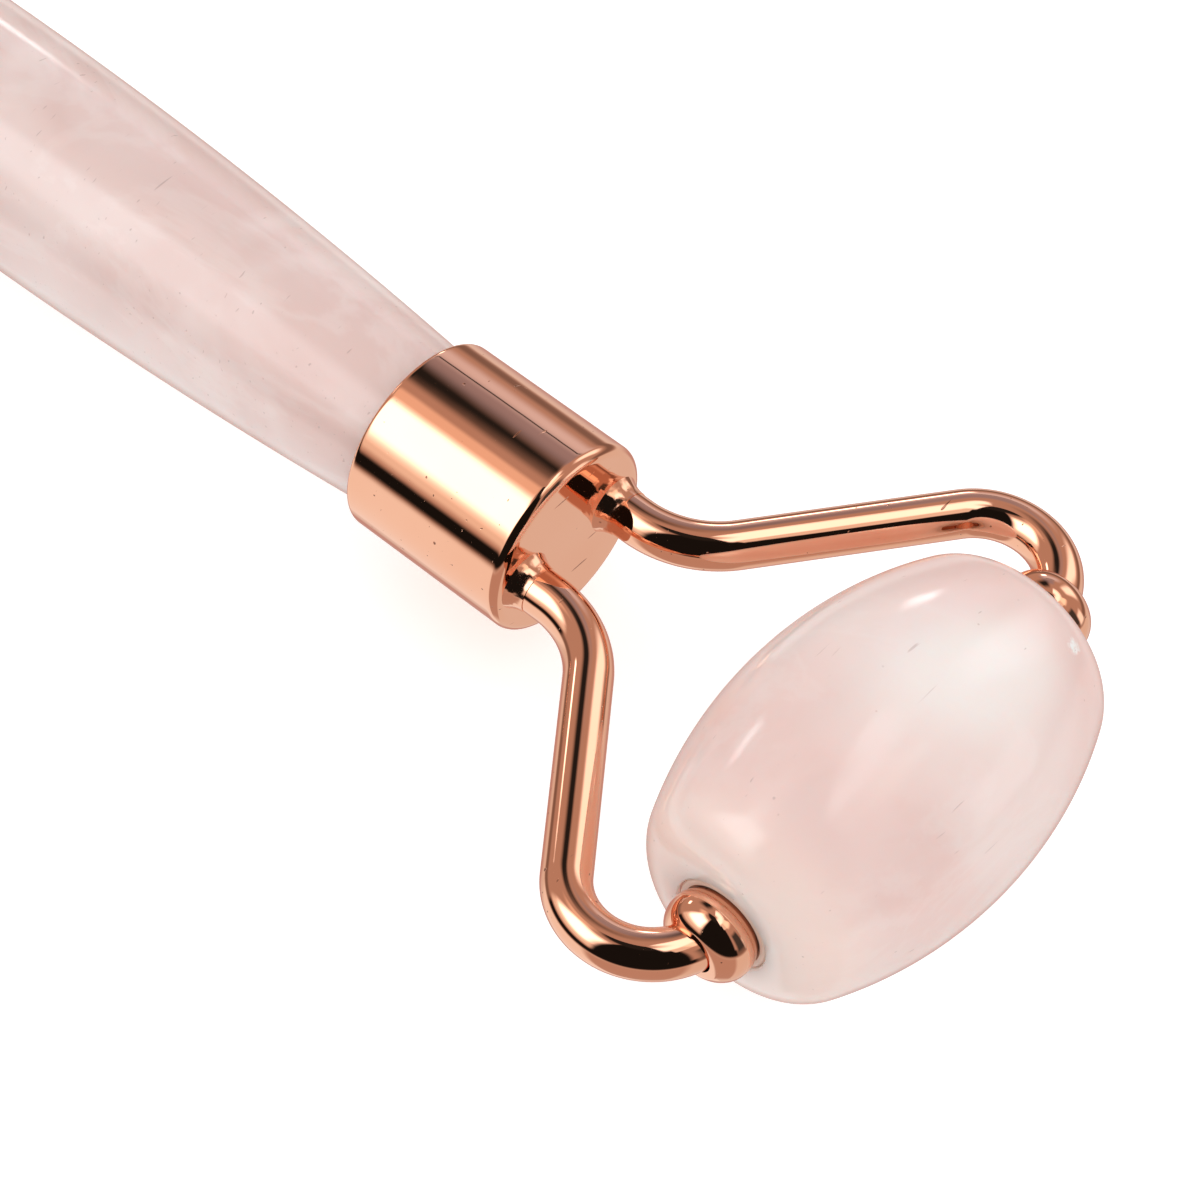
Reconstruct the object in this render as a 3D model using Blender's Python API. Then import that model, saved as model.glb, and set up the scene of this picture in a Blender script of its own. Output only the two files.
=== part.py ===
"""Two-ended face roller with stone rollers that turn between bent wire arms.

X runs along the handle towards the large head, Y along the axles and Z up.
The tool lies on its large roller, with the origin under the middle of its length.
"""
import math

import bmesh
import bpy
from mathutils import Vector

MM = 0.001

# Handle, one turned piece of stone
HANDLE_LENGTH = 74.0 * MM
HANDLE_MIDDLE_DIAMETER = 13.6 * MM
HANDLE_END_DIAMETER = 10.0 * MM
SPIGOT_LENGTH = 6.6 * MM
SPIGOT_CHAMFER = 0.5 * MM

# Ferrules, deep-drawn cups glued on the handle's ends
FERRULE_LENGTH = 11.3 * MM
FERRULE_WALL = 0.75 * MM
FERRULE_END_PLATE = 1.2 * MM
FERRULE_FRONT_ROUNDING = 0.6 * MM
FERRULE_RIM_ROUNDING = 0.3 * MM

# Arms, bent wire with a thinner pin at the end
WIRE_DIAMETER = 2.8 * MM
PIN_DIAMETER = 2.45 * MM
PIN_DEPTH = 5.0 * MM
LEG_STRAIGHT = 1.8 * MM
WIRE_STRAIGHT_IN_COLLAR = 1.3 * MM

# Beads, rings and bushes on the wire
COLLAR_DIAMETER = 5.3 * MM
COLLAR_THICKNESS = 3.2 * MM
SOLDER_SPREAD = 0.4 * MM
SOLDER_HEIGHT = 1.1 * MM
SOLDER_LIP = 0.12 * MM
BUSH_WALL = 0.75 * MM
BUSH_LENGTH = 6.5 * MM

# Stones, which float along their pins and are dished round the bore
DISH_DEPTH = 1.2 * MM

# Large head
LARGE_STONE_DIAMETER = 18.0 * MM
LARGE_STONE_LENGTH = 25.3 * MM
LARGE_STONE_CROWN_RADIUS = 25.7 * MM
LARGE_STONE_END_ROUNDING = 3.8 * MM
LARGE_STONE_SLIDE = -0.5 * MM
LARGE_REACH = 22.2 * MM
LARGE_LEG_SPACING = 7.3 * MM
LARGE_LEG_BEND = 6.45 * MM
LARGE_PIN_BEND = 4.3 * MM

# Small head
SMALL_STONE_DIAMETER = 14.5 * MM
SMALL_STONE_LENGTH = 19.0 * MM
SMALL_STONE_CROWN_RADIUS = 19.5 * MM
SMALL_STONE_END_ROUNDING = 2.8 * MM
SMALL_STONE_SLIDE = 0.2 * MM
SMALL_REACH = 19.0 * MM
SMALL_LEG_SPACING = 7.3 * MM
SMALL_LEG_BEND = 5.6 * MM
SMALL_PIN_BEND = 3.8 * MM

# Clearances
GLUE_GAP = 0.25 * MM
SOLDER_GAP = 0.1 * MM
PRESS_GAP = 0.1 * MM
RUNNING_GAP = 0.2 * MM
SEAT_GAP = 0.05 * MM
END_FLOAT = 0.9 * MM
BUSH_RECESS = 0.1 * MM

# Facets
ROUND_SIDES = 36
SMALL_SIDES = 20
WIRE_BEVEL_RESOLUTION = 4
HANDLE_STEPS = 18
CROWN_STEPS = 11
FILLET_STEPS = 4
BEND_STEP = math.radians(10.0)

# Worked-out sizes
WIRE_RADIUS = WIRE_DIAMETER / 2
PIN_RADIUS = PIN_DIAMETER / 2
BUSH_BORE_RADIUS = PIN_RADIUS + RUNNING_GAP
BUSH_RADIUS = BUSH_BORE_RADIUS + BUSH_WALL
STONE_BORE_RADIUS = BUSH_RADIUS + PRESS_GAP
FERRULE_BORE_RADIUS = HANDLE_END_DIAMETER / 2 + GLUE_GAP
FERRULE_RADIUS = FERRULE_BORE_RADIUS + FERRULE_WALL
PAD_LENGTH = FERRULE_LENGTH - FERRULE_END_PLATE - SPIGOT_LENGTH - 2 * GLUE_GAP
FOOT_DEPTH = FERRULE_END_PLATE + GLUE_GAP + PAD_LENGTH


# Scene, materials and shared shapes

for old in list(bpy.data.objects):
    bpy.data.objects.remove(old, do_unlink=True)


def material(name, colour, roughness, metallic):
    mat = bpy.data.materials.new(name)
    mat.use_nodes = True
    shader = mat.node_tree.nodes["Principled BSDF"]
    shader.inputs["Base Color"].default_value = (*colour, 1.0)
    shader.inputs["Roughness"].default_value = roughness
    shader.inputs["Metallic"].default_value = metallic
    return mat


ROSE_QUARTZ = material("rose_quartz", (0.83, 0.63, 0.60), 0.15, 0.0)
ROSE_GOLD = material("rose_gold_plate", (0.86, 0.45, 0.30), 0.12, 1.0)
BARE_COPPER = material("bare_copper_solder", (0.80, 0.38, 0.22), 0.35, 1.0)
NYLON = material("beige_nylon", (0.76, 0.55, 0.42), 0.45, 0.0)
SET_GLUE = material("set_epoxy_glue", (0.70, 0.58, 0.36), 0.40, 0.0)


def add_object(name, mesh, mat, parent):
    mesh.materials.append(mat)
    mesh.shade_smooth()
    mesh.set_sharp_from_angle(angle=math.radians(35))
    obj = bpy.data.objects.new(name, mesh)
    bpy.context.collection.objects.link(obj)
    obj.parent = parent
    return obj


def add_empty(name, location, turn=0.0):
    empty = bpy.data.objects.new(name, None)
    bpy.context.collection.objects.link(empty)
    empty.location = location
    empty.rotation_euler = (0.0, 0.0, turn)
    return empty


def arc(centre, radius, start, end, steps):
    """Points on an arc in a profile's plane, both ends included."""
    angles = [start + (end - start) * i / steps for i in range(steps + 1)]
    return [(centre[0] + radius * math.cos(a), centre[1] + radius * math.sin(a)) for a in angles]


def turned_mesh(name, profile, axis, sides, closed, centre=(0.0, 0.0, 0.0)):
    """Spin a profile of (place along the axis, radius) once round the X or Y axis.

    A closed profile gives a ring. An open one starts and ends on the axis.
    """
    bm = bmesh.new()
    along = Vector((1, 0, 0)) if axis == "X" else Vector((0, 1, 0))
    across = Vector((0, 0, 1))
    middle = Vector(centre)
    verts = [bm.verts.new(middle + along * t + across * r) for t, r in profile]
    pairs = list(zip(verts, verts[1:]))
    if closed:
        pairs.append((verts[-1], verts[0]))
    edges = [bm.edges.new(pair) for pair in pairs]
    bmesh.ops.spin(bm, geom=verts + edges, cent=middle, axis=along, dvec=(0, 0, 0),
                   angle=2 * math.pi, steps=sides, use_merge=True, use_duplicate=False)
    bmesh.ops.remove_doubles(bm, verts=bm.verts, dist=1e-7)
    bmesh.ops.recalc_face_normals(bm, faces=bm.faces)
    mesh = bpy.data.meshes.new(name)
    bm.to_mesh(mesh)
    bm.free()
    return mesh


def wire_curve(name, stations, depth):
    """A poly curve of (x, y, share of the full radius), swept by a round bevel with filled caps."""
    curve = bpy.data.curves.new(name, "CURVE")
    curve.dimensions = "3D"
    curve.twist_mode = "Z_UP"
    curve.bevel_depth = depth
    curve.bevel_resolution = WIRE_BEVEL_RESOLUTION
    curve.use_fill_caps = True
    spline = curve.splines.new("POLY")
    spline.points.add(len(stations) - 1)
    for point, (x, y, share) in zip(spline.points, stations):
        point.co = (x, y, 0.0, 1.0)
        point.radius = share
    return curve


def wire_mesh(name, stations, depth):
    """The swept curve as a closed mesh, so that it can cut other pieces too."""
    curve_object = bpy.data.objects.new(name + "_curve", wire_curve(name, stations, depth))
    mesh = bpy.data.meshes.new_from_object(curve_object)
    mesh.name = name
    bpy.data.objects.remove(curve_object)
    bm = bmesh.new()
    bm.from_mesh(mesh)
    bmesh.ops.remove_doubles(bm, verts=bm.verts, dist=1e-7)
    bmesh.ops.recalc_face_normals(bm, faces=bm.faces)
    bm.to_mesh(mesh)
    bm.free()
    return mesh


def cut(obj, cutter):
    boolean = obj.modifiers.new("cut_by_" + cutter.name, "BOOLEAN")
    boolean.operation = "DIFFERENCE"
    boolean.object = cutter


def add_cutter(name, mesh, parent):
    cutter = bpy.data.objects.new(name, mesh)
    bpy.context.collection.objects.link(cutter)
    cutter.parent = parent
    cutter.hide_render = True
    cutter.display_type = "WIRE"
    return cutter


class Head:
    """The sizes of one head, measured from its axle, with the ferrule's face at minus reach."""

    def __init__(self, name, stone_diameter, stone_length, crown_radius, end_rounding, slide,
                 reach, leg_spacing, leg_bend, pin_bend):
        self.name = name
        self.stone_radius = stone_diameter / 2
        self.half_length = stone_length / 2
        self.crown_radius = crown_radius
        self.end_rounding = end_rounding
        self.slide = slide
        self.reach = reach
        self.leg_place = leg_spacing / 2
        self.leg_bend = leg_bend
        self.pin_bend = pin_bend
        self.dish_floor = self.half_length - DISH_DEPTH
        self.collar_inner = self.dish_floor + END_FLOAT


LARGE = Head("large", LARGE_STONE_DIAMETER, LARGE_STONE_LENGTH, LARGE_STONE_CROWN_RADIUS,
             LARGE_STONE_END_ROUNDING, LARGE_STONE_SLIDE, LARGE_REACH, LARGE_LEG_SPACING,
             LARGE_LEG_BEND, LARGE_PIN_BEND)
SMALL = Head("small", SMALL_STONE_DIAMETER, SMALL_STONE_LENGTH, SMALL_STONE_CROWN_RADIUS,
             SMALL_STONE_END_ROUNDING, SMALL_STONE_SLIDE, SMALL_REACH, SMALL_LEG_SPACING,
             SMALL_LEG_BEND, SMALL_PIN_BEND)

# Places along the tool, from the middle of its whole length
OVERALL_LENGTH = (LARGE.stone_radius + LARGE.reach + HANDLE_LENGTH + 2 * FERRULE_LENGTH
                  + SMALL.reach + SMALL.stone_radius)
AXIS_HEIGHT = max(LARGE.stone_radius, SMALL.stone_radius)
LARGE_AXLE_X = OVERALL_LENGTH / 2 - LARGE.stone_radius
SMALL_AXLE_X = -OVERALL_LENGTH / 2 + SMALL.stone_radius
HANDLE_X = LARGE_AXLE_X - LARGE.reach - FERRULE_LENGTH - HANDLE_LENGTH / 2


# Handle: a spindle whose swell is one long arc, with a straight spigot at each end

def handle_profile():
    half = HANDLE_LENGTH / 2
    end_radius = HANDLE_END_DIAMETER / 2
    middle_radius = HANDLE_MIDDLE_DIAMETER / 2
    swell = middle_radius - end_radius
    bow_radius = (half ** 2 + swell ** 2) / (2 * swell)
    spread = math.asin(half / bow_radius)
    bow = arc((0.0, middle_radius - bow_radius), bow_radius,
              math.pi / 2 + spread, math.pi / 2 - spread, HANDLE_STEPS)
    tip = half + SPIGOT_LENGTH
    right = [(tip - SPIGOT_CHAMFER, end_radius), (tip, end_radius - SPIGOT_CHAMFER), (tip, 0.0)]
    left = [(-t, r) for t, r in reversed(right)]
    return left + bow + right


def add_handle():
    parent = add_empty("handle_axis", (HANDLE_X, 0.0, AXIS_HEIGHT))
    mesh = turned_mesh("handle", handle_profile(), "X", ROUND_SIDES, closed=False)
    add_object("handle", mesh, ROSE_QUARTZ, parent)


# Ferrule: a cup open towards the handle, with a hole in its end plate for each arm

def ferrule_profile(face):
    rear = face - FERRULE_LENGTH
    front = arc((face - FERRULE_FRONT_ROUNDING, FERRULE_RADIUS - FERRULE_FRONT_ROUNDING),
                FERRULE_FRONT_ROUNDING, 0.0, math.pi / 2, FILLET_STEPS)
    rim = arc((rear + FERRULE_RIM_ROUNDING, FERRULE_RADIUS - FERRULE_RIM_ROUNDING),
              FERRULE_RIM_ROUNDING, math.pi / 2, math.pi, FILLET_STEPS - 1)
    inside = [(rear, FERRULE_BORE_RADIUS), (face - FERRULE_END_PLATE, FERRULE_BORE_RADIUS),
              (face - FERRULE_END_PLATE, 0.0)]
    return [(face, 0.0)] + front + rim + inside


def add_ferrule(head, parent, leg_cutters):
    mesh = turned_mesh("ferrule", ferrule_profile(-head.reach), "X", ROUND_SIDES, closed=False)
    ferrule = add_object(f"{head.name}_ferrule", mesh, ROSE_GOLD, parent)
    for cutter in leg_cutters:
        cut(ferrule, cutter)


# Adhesive: the set glue between the ferrule's end plate and the handle, round the arms' feet

def add_adhesive(head, parent, leg_cutters):
    front = -head.reach - FERRULE_END_PLATE - GLUE_GAP
    radius = FERRULE_BORE_RADIUS - GLUE_GAP
    profile = [(front, 0.0), (front, radius), (front - PAD_LENGTH, radius), (front - PAD_LENGTH, 0.0)]
    mesh = turned_mesh("adhesive", profile, "X", ROUND_SIDES, closed=False)
    adhesive = add_object(f"{head.name}_adhesive", mesh, SET_GLUE, parent)
    for cutter in leg_cutters:
        cut(adhesive, cutter)


# Arms: out of the ferrule, bent apart, then bent round to point at each other along the axle

def arm_path(head, side):
    """Points of the bent wire from the ferrule's face to the collar's inner face."""
    leg_end = -head.reach + LEG_STRAIGHT
    pin_start = head.collar_inner + WIRE_STRAIGHT_IN_COLLAR
    leg_centre = Vector((leg_end, head.leg_place + head.leg_bend))
    pin_centre = Vector((-head.pin_bend, pin_start))
    between = pin_centre - leg_centre
    lean = math.atan2(between.y, between.x)
    slope = lean + math.asin((head.leg_bend + head.pin_bend) / between.length)
    leg_steps = math.ceil(slope / BEND_STEP)
    pin_turn = math.pi / 2 + slope
    pin_steps = math.ceil(pin_turn / BEND_STEP)
    points = arc(leg_centre, head.leg_bend, -math.pi / 2, -math.pi / 2 + slope, leg_steps)
    points += arc(pin_centre, head.pin_bend, pin_turn, 0.0, pin_steps)
    points.append((0.0, head.collar_inner))
    return [(x, side * y) for x, y in points]


def add_arm(head, side, side_name, parent):
    foot = [(-head.reach - FOOT_DEPTH, side * head.leg_place, 1.0)]
    bent = [(x, y, 1.0) for x, y in arm_path(head, side)]
    pin_share = PIN_DIAMETER / WIRE_DIAMETER
    pin = [(0.0, side * (head.collar_inner - SEAT_GAP), pin_share),
           (0.0, side * (head.dish_floor - PIN_DEPTH), pin_share)]
    name = f"{head.name}_{side_name}_arm"
    add_object(name, wire_mesh(name, foot + bent + pin, WIRE_RADIUS), ROSE_GOLD, parent)


def leg_cutter(head, side, side_name, parent):
    """A straight rod along the arm's leg, longer than what it passes through."""
    place = side * head.leg_place
    stations = [(-head.reach - FOOT_DEPTH - GLUE_GAP, place, 1.0),
                (-head.reach + LEG_STRAIGHT, place, 1.0)]
    name = f"{head.name}_{side_name}_leg_hole"
    return add_cutter(name, wire_mesh(name, stations, WIRE_RADIUS + SOLDER_GAP), parent)


def end_cutter(head, side, side_name, parent):
    """A rod along the arm's last bend, so that a collar's hole follows the curving wire."""
    bent = [(x, y, 1.0) for x, y in arm_path(head, side) if x > -head.pin_bend]
    past = [(0.0, side * head.dish_floor, 1.0)]
    name = f"{head.name}_{side_name}_collar_hole"
    return add_cutter(name, wire_mesh(name, bent + past, WIRE_RADIUS + SOLDER_GAP), parent)


# Solder ring: a fillet of metal round each leg where it leaves the ferrule

def add_solder_ring(head, side, side_name, parent):
    base = -head.reach + SEAT_GAP
    bore = WIRE_RADIUS + SOLDER_GAP
    foot_radius = WIRE_RADIUS + SOLDER_SPREAD
    lip_radius = bore + SOLDER_LIP
    hollow = [(base + SOLDER_HEIGHT * i / FILLET_STEPS,
               lip_radius + (foot_radius - lip_radius) * (1 - i / FILLET_STEPS) ** 2)
              for i in range(FILLET_STEPS + 1)]
    profile = [(base, bore)] + hollow + [(base + SOLDER_HEIGHT, bore)]
    name = f"{head.name}_{side_name}_solder_ring"
    mesh = turned_mesh(name, profile, "X", SMALL_SIDES, closed=True,
                       centre=(0.0, side * head.leg_place, 0.0))
    add_object(name, mesh, BARE_COPPER, parent)


# Collar: a round bead on the wire that keeps the stone on its pin

def add_collar(head, side, side_name, parent, hole):
    half = COLLAR_THICKNESS / 2
    middle = side * (head.collar_inner + half)
    rim = arc((middle, COLLAR_DIAMETER / 2 - half), half, math.pi, 0.0, 2 * FILLET_STEPS)
    profile = [(middle - half, 0.0)] + rim + [(middle + half, 0.0)]
    name = f"{head.name}_{side_name}_collar"
    mesh = turned_mesh(name, profile, "Y", SMALL_SIDES, closed=False)
    collar = add_object(name, mesh, ROSE_GOLD, parent)
    cut(collar, hole)


# Bush: a plastic sleeve pressed into each end of the stone's bore

def add_bush(head, side, side_name, parent):
    outer_end = head.slide + side * (head.dish_floor - BUSH_RECESS)
    inner_end = head.slide + side * (head.dish_floor - BUSH_RECESS - BUSH_LENGTH)
    profile = [(outer_end, BUSH_BORE_RADIUS), (outer_end, BUSH_RADIUS),
               (inner_end, BUSH_RADIUS), (inner_end, BUSH_BORE_RADIUS)]
    name = f"{head.name}_{side_name}_bush"
    add_object(name, turned_mesh(name, profile, "Y", SMALL_SIDES, closed=True), NYLON, parent)


# Roller stone: a barrel with one crown arc, rounded ends dished in the middle, and a through bore

def stone_profile(head):
    rounding = head.end_rounding
    crown_centre = head.stone_radius - head.crown_radius
    rounding_place = head.half_length - rounding
    rise = math.sqrt((head.crown_radius - rounding) ** 2 - rounding_place ** 2)
    meet = math.atan2(rise, rounding_place)
    crown = arc((0.0, crown_centre), head.crown_radius, math.pi - meet, meet, CROWN_STEPS)
    right = arc((rounding_place, crown_centre + rise), rounding, meet, 0.0, FILLET_STEPS)[1:]
    left = [(-t, r) for t, r in reversed(right)]
    bore = [(head.dish_floor, STONE_BORE_RADIUS), (-head.dish_floor, STONE_BORE_RADIUS)]
    return left + crown + right + bore


def add_stone(head, parent):
    name = f"{head.name}_roller_stone"
    mesh = turned_mesh(name, stone_profile(head), "Y", ROUND_SIDES, closed=True,
                       centre=(0.0, head.slide, 0.0))
    add_object(name, mesh, ROSE_QUARTZ, parent)


# The whole tool

def add_head(head, axle_x, turn):
    axle = add_empty(f"{head.name}_axle", (axle_x, 0.0, AXIS_HEIGHT), turn)
    sides = ((1, "left"), (-1, "right"))
    leg_cutters = [leg_cutter(head, side, side_name, axle) for side, side_name in sides]
    add_ferrule(head, axle, leg_cutters)
    add_adhesive(head, axle, leg_cutters)
    for side, side_name in sides:
        add_arm(head, side, side_name, axle)
        add_solder_ring(head, side, side_name, axle)
        add_collar(head, side, side_name, axle, end_cutter(head, side, side_name, axle))
        add_bush(head, side, side_name, axle)
    add_stone(head, axle)


add_handle()
add_head(LARGE, LARGE_AXLE_X, 0.0)
add_head(SMALL, SMALL_AXLE_X, math.pi)
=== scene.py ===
import math

import bmesh
import bpy
from mathutils import Matrix, Vector


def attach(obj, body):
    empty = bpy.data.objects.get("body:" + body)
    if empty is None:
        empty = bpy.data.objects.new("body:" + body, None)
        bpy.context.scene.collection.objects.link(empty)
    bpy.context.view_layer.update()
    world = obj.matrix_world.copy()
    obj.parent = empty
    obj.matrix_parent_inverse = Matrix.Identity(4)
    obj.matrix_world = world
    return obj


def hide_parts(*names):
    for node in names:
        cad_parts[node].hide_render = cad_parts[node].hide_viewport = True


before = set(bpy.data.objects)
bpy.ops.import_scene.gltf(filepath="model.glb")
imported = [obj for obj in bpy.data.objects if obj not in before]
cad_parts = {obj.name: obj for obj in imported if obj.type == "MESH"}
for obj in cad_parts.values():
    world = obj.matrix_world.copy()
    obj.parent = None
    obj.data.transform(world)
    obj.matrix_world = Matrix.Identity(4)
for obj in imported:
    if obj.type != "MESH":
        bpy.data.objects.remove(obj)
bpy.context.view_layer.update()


# Handle
# One piece of rose quartz, turned to a long spindle and tumbled to a polish.
# A straight spigot at each end goes into a ferrule and is glued there.

MM = 0.001
AXIS_HEIGHT = 9.0 * MM
HANDLE_X = -2.475 * MM
HANDLE_HALF = 37.0 * MM
HANDLE_MIDDLE_RADIUS = 6.8 * MM
HANDLE_END_RADIUS = 5.0 * MM
SPIGOT_LENGTH = 6.6 * MM
SPIGOT_CHAMFER = 0.5 * MM
HANDLE_STEPS = 72
HANDLE_SIDES = 128
SEAM_GAP = 0.0002 * MM
SMOOTH_ANGLE = math.radians(32)


def arc(centre, radius, start, end, steps):
    """Points of a profile along an arc, with both ends, as (place along the axis, radius)."""
    angles = [start + (end - start) * i / steps for i in range(steps + 1)]
    return [(centre[0] + radius * math.cos(a), centre[1] + radius * math.sin(a)) for a in angles]


def turn_profile(name, profile, axis, sides, centre=(0.0, 0.0, 0.0)):
    """Draw a profile point by point, spin it once round its axis and close the seam."""
    along, across = Vector(axis), Vector((0, 0, 1))
    points = [Vector(centre) + along * t + across * r for t, r in profile]
    bpy.ops.object.select_all(action="DESELECT")
    bpy.ops.mesh.primitive_plane_add(size=MM, location=points[0])
    bpy.ops.object.transform_apply(location=True, rotation=True, scale=True)
    piece = bpy.context.object
    piece.name = piece.data.name = name
    bpy.ops.object.mode_set(mode="EDIT")
    bpy.ops.mesh.select_all(action="SELECT")
    bpy.ops.mesh.merge(type="CENTER")
    for here, there in zip(points, points[1:]):
        bpy.ops.mesh.extrude_vertices_move(TRANSFORM_OT_translate={"value": there - here})
    bpy.ops.mesh.select_all(action="SELECT")
    bpy.ops.mesh.spin(steps=sides, angle=2 * math.pi, center=centre, axis=along)
    bpy.ops.mesh.select_all(action="SELECT")
    bpy.ops.mesh.remove_doubles(threshold=SEAM_GAP)
    bpy.ops.mesh.normals_make_consistent(inside=False)
    bpy.ops.object.mode_set(mode="OBJECT")
    bpy.ops.object.shade_smooth_by_angle(angle=SMOOTH_ANGLE)
    return piece


def pick(piece):
    """Select one piece alone, for the operators that follow."""
    bpy.ops.object.select_all(action="DESELECT")
    piece.select_set(True)
    bpy.context.view_layer.objects.active = piece


def put(piece, location, turn=0.0):
    """Move a finished piece to its place and leave the place in its mesh."""
    pick(piece)
    piece.location = location
    piece.rotation_euler = (0.0, 0.0, turn)
    bpy.ops.object.transform_apply(location=True, rotation=True, scale=True)


def colour(code):
    """An sRGB hex colour as linear RGBA."""
    parts = [int(code[i:i + 2], 16) / 255 for i in (1, 3, 5)]
    return [c / 12.92 if c <= 0.04045 else ((c + 0.055) / 1.055) ** 2.4 for c in parts] + [1.0]


def add_node(tree, kind, inputs, **settings):
    """Add a shader node, set it, and give each input a value or a link."""
    made = tree.nodes.new("ShaderNode" + kind)
    for setting, value in settings.items():
        setattr(made, setting, value)
    for socket, value in inputs.items():
        if isinstance(value, bpy.types.NodeSocket):
            tree.links.new(value, made.inputs[socket])
        else:
            made.inputs[socket].default_value = value
    return made


def open_material(material):
    """A material's node tree, its shader and the Object coordinates of the piece."""
    material.use_nodes = True
    tree = material.node_tree
    place = add_node(tree, "TexCoord", {}).outputs["Object"]
    return tree, tree.nodes["Principled BSDF"], place


# Polished rose quartz: pale pink and cloudy all through, with milky veils, so that light goes in
# a few millimetres and softens every shadow. The polish leaves hair scratches and tiny pits.
rose_quartz = bpy.data.materials.new("polished_rose_quartz")
tree, shader, place = open_material(rose_quartz)
cloud_noise = add_node(tree, "TexNoise", {
    "Vector": place, "Scale": 1 / (13 * MM), "Detail": 3.0, "Roughness": 0.5, "Distortion": 0.6,
}, name="cloud_noise").outputs[0]
cloud = add_node(tree, "MapRange", {0: cloud_noise, 1: 0.40, 2: 0.66},
                 interpolation_type="SMOOTHSTEP").outputs[0]
# The blush runs in streaks along the handle.
blush_place = add_node(tree, "Mapping", {"Vector": place, "Scale": (0.5, 1.0, 1.0)},
                       name="blush_place").outputs[0]
blush_noise = add_node(tree, "TexNoise", {
    "Vector": blush_place, "W": 3.7, "Scale": 1 / (8 * MM), "Detail": 3.0, "Roughness": 0.5,
    "Distortion": 0.5,
}, noise_dimensions="4D", name="blush_noise").outputs[0]
blush = add_node(tree, "MapRange", {0: blush_noise, 1: 0.42, 2: 0.74},
                 interpolation_type="SMOOTHSTEP", name="blush").outputs[0]
veil_place = add_node(tree, "Mapping", {
    "Vector": place, "Rotation": (0.5, 0.3, 0.7), "Scale": (0.45, 1.0, 1.3)}).outputs[0]
veil_noise = add_node(tree, "TexNoise", {
    "Vector": veil_place, "Scale": 1 / (9 * MM), "Detail": 5.0, "Roughness": 0.6, "Distortion": 1.2,
}).outputs[0]
veil_side = add_node(tree, "Math", {0: veil_noise, 1: 0.5}, operation="SUBTRACT").outputs[0]
veil_far = add_node(tree, "Math", {0: veil_side}, operation="ABSOLUTE").outputs[0]
veil = add_node(tree, "MapRange", {0: veil_far, 1: 0.0, 2: 0.07, 3: 0.2, 4: 0.0},
                interpolation_type="SMOOTHSTEP", name="veil").outputs[0]
body_tint = add_node(tree, "Mix", {0: blush, 6: colour("#e6cdc7"), 7: colour("#e2c5be")},
                     data_type="RGBA", name="body_tint").outputs[2]
clouded = add_node(tree, "Mix", {0: cloud, 6: body_tint, 7: colour("#ecd9d4")},
                   data_type="RGBA", name="clouded").outputs[2]
veiled = add_node(tree, "Mix", {0: veil, 6: clouded, 7: colour("#f5eae6")},
                  data_type="RGBA", name="veiled").outputs[2]
# Hair scratches are about 0.03 mm wide and 1 to 2 mm long, drawn at 0.06 mm so that they show.
hair_place = add_node(tree, "Mapping", {
    "Vector": place, "Rotation": (0.3, 0.9, 0.4), "Scale": (1.0, 0.05, 1.0)}).outputs[0]
hair_noise = add_node(tree, "TexNoise", {
    "Vector": hair_place, "Scale": 1 / (0.22 * MM), "Detail": 0.0, "Distortion": 0.3}).outputs[0]
cross_place = add_node(tree, "Mapping", {
    "Vector": place, "Rotation": (1.1, 0.2, 1.5), "Scale": (1.0, 0.09, 1.0)}).outputs[0]
cross_noise = add_node(tree, "TexNoise", {
    "Vector": cross_place, "Scale": 1 / (0.2 * MM), "Detail": 0.0, "Distortion": 0.4}).outputs[0]
hair_both = add_node(tree, "Math", {0: hair_noise, 1: cross_noise}, operation="MAXIMUM").outputs[0]
hair = add_node(tree, "MapRange", {0: hair_both, 1: 0.82, 2: 0.87}, name="hair").outputs[0]
pit_cells = add_node(tree, "TexVoronoi", {"Vector": place, "Scale": 1 / (1.6 * MM)})
pit_far = pit_cells.outputs["Distance"]
pit_spot = add_node(tree, "MapRange", {0: pit_far, 1: 0.035, 2: 0.06, 3: 1.0, 4: 0.0}).outputs[0]
pit_patch = add_node(tree, "TexNoise", {
    "Vector": place, "Scale": 1 / (5 * MM), "Detail": 1.0}).outputs[0]
pit_some = add_node(tree, "MapRange", {0: pit_patch, 1: 0.56, 2: 0.62}).outputs[0]
pit = add_node(tree, "Math", {0: pit_spot, 1: pit_some}, operation="MULTIPLY").outputs[0]
mark = add_node(tree, "Math", {0: hair, 1: pit}, operation="MAXIMUM").outputs[0]
mark_share = add_node(tree, "Math", {0: mark, 1: 0.38}, operation="MULTIPLY").outputs[0]
marked = add_node(tree, "Mix", {0: mark_share, 6: veiled, 7: colour("#a98a86")},
                  data_type="RGBA", name="marked").outputs[2]
tree.links.new(marked, shader.inputs["Base Color"])
polish_noise = add_node(tree, "TexNoise", {
    "Vector": place, "Scale": 1 / (2.5 * MM), "Detail": 3.0}).outputs[0]
polish = add_node(tree, "MapRange", {
    0: polish_noise, 1: 0.3, 2: 0.7, 3: 0.07, 4: 0.14}).outputs[0]
tree.links.new(polish, shader.inputs["Roughness"])
wave_noise = add_node(tree, "TexNoise", {
    "Vector": place, "Scale": 1 / (4.0 * MM), "Detail": 1.0}).outputs[0]
wave_bump = add_node(tree, "Bump", {
    "Height": wave_noise, "Strength": 0.5, "Distance": 0.03 * MM}).outputs[0]
mark_bump = add_node(tree, "Bump", {
    "Height": mark, "Strength": 0.5, "Distance": 0.02 * MM, "Normal": wave_bump,
}, invert=True).outputs[0]
tree.links.new(mark_bump, shader.inputs["Normal"])
shader.inputs["IOR"].default_value = 1.54
shader.inputs["Subsurface Weight"].default_value = 0.75
shader.inputs["Subsurface Radius"].default_value = (1.0, 0.62, 0.55)
shader.inputs["Subsurface Scale"].default_value = 3.5 * MM

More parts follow.
